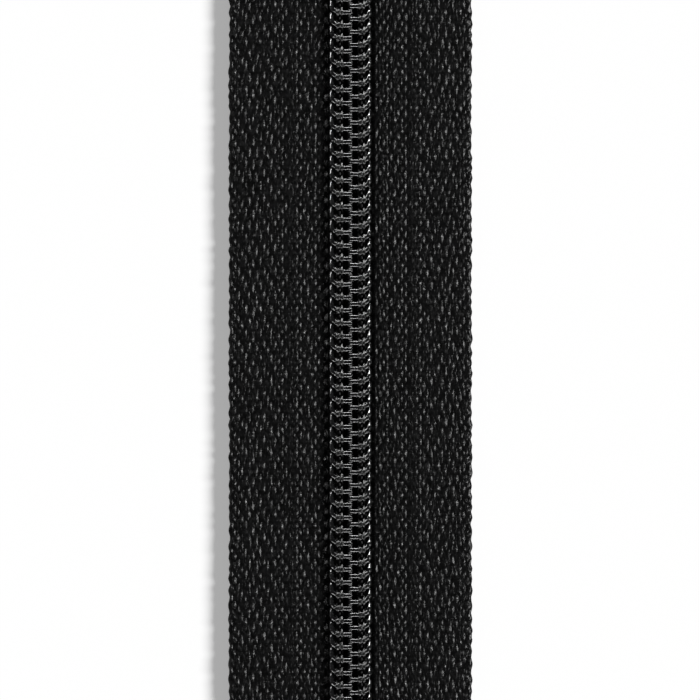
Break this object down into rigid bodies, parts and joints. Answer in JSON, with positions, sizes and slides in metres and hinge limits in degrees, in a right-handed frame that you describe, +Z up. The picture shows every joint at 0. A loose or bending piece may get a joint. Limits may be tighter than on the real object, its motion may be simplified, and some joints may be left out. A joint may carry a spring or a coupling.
{
  "type": "coil zipper",
  "caption": "Closed-end nylon coil zipper with woven tapes, an auto-lock slider with a flat pull tab, top stops and a bottom stop.",
  "frame": {"origin": "centre of the bounding box in X and Y, on the surface the zipper lies on", "axes": "+X across the tapes to the right, +Y along the chain towards the slider and the top stops, +Z up, the coil side"},
  "size_m": [0.0278, 0.164, 0.006],
  "materials": {
    "tape_weave": "black woven polyester tape, herringbone of fine warp yarns",
    "nylon_filament": "black nylon monofilament with a soft gloss",
    "core_cord": "black spun polyester cord",
    "sewing_thread": "black twisted polyester sewing thread, dull",
    "black_enamel": "black baked enamel over die-cast zinc, semi-gloss",
    "spring_steel": "bare spring steel",
    "moulded_plastic": "black moulded plastic, satin"
  },
  "bodies": {
    "bottom_end": {"bottom_stop": "moulded_plastic"},
    "left_stringer": {"left_tape": "tape_weave", "left_coil": "nylon_filament", "left_core_cord": "core_cord", "left_inner_needle_thread": "sewing_thread", "left_outer_needle_thread": "sewing_thread", "left_inner_looper_thread": "sewing_thread", "left_outer_looper_thread": "sewing_thread", "left_top_stop": "black_enamel"},
    "right_stringer": {"right_tape": "tape_weave", "right_coil": "nylon_filament", "right_core_cord": "core_cord", "right_inner_needle_thread": "sewing_thread", "right_outer_needle_thread": "sewing_thread", "right_inner_looper_thread": "sewing_thread", "right_outer_looper_thread": "sewing_thread", "right_top_stop": "black_enamel"},
    "slider": {"slider_body": "black_enamel", "slider_cap": "black_enamel"},
    "lock_pin": {"lock_spring": "spring_steel"},
    "pull_tab": {"pull_tab": "black_enamel"}
  },
  "joints": [
    {"name": "slider_slide", "type": "slide", "parent": "bottom_end", "child": "slider", "axis": [0, -1, 0], "range_m": [0, 0.114], "deforming": ["left_tape", "left_coil", "left_core_cord", "left_inner_needle_thread", "left_outer_needle_thread", "left_inner_looper_thread", "left_outer_looper_thread", "right_tape", "right_coil", "right_core_cord", "right_inner_needle_thread", "right_outer_needle_thread", "right_inner_looper_thread", "right_outer_looper_thread"]},
    {"name": "left_open", "type": "hinge", "parent": "bottom_end", "child": "left_stringer", "pos_m": [0, -0.0609, 0.00115], "axis": [0, 0, 1], "range_deg": [0, 8]},
    {"name": "right_open", "type": "hinge", "parent": "bottom_end", "child": "right_stringer", "pos_m": [0, -0.0609, 0.00115], "axis": [0, 0, -1], "range_deg": [0, 8]},
    {"name": "pull_tab_hinge", "type": "hinge", "parent": "slider", "child": "pull_tab", "pos_m": [0, 0.06013, 0.00425], "axis": [-1, 0, 0], "range_deg": [0, 180]},
    {"name": "lock_lift", "type": "slide", "parent": "slider", "child": "lock_pin", "axis": [0, 0, 1], "range_m": [0, 0.00035], "stiffness_N_per_m": 0.001, "springref_m": 0.17165}
  ],
  "couplings": [
    {"joint": "left_open", "follows": "slider_slide", "rad_per_m": 1.2247},
    {"joint": "right_open", "follows": "slider_slide", "rad_per_m": 1.2247},
    {"joint": "lock_lift", "follows": "pull_tab_hinge", "m_per_rad": 0.000111}
  ]
}
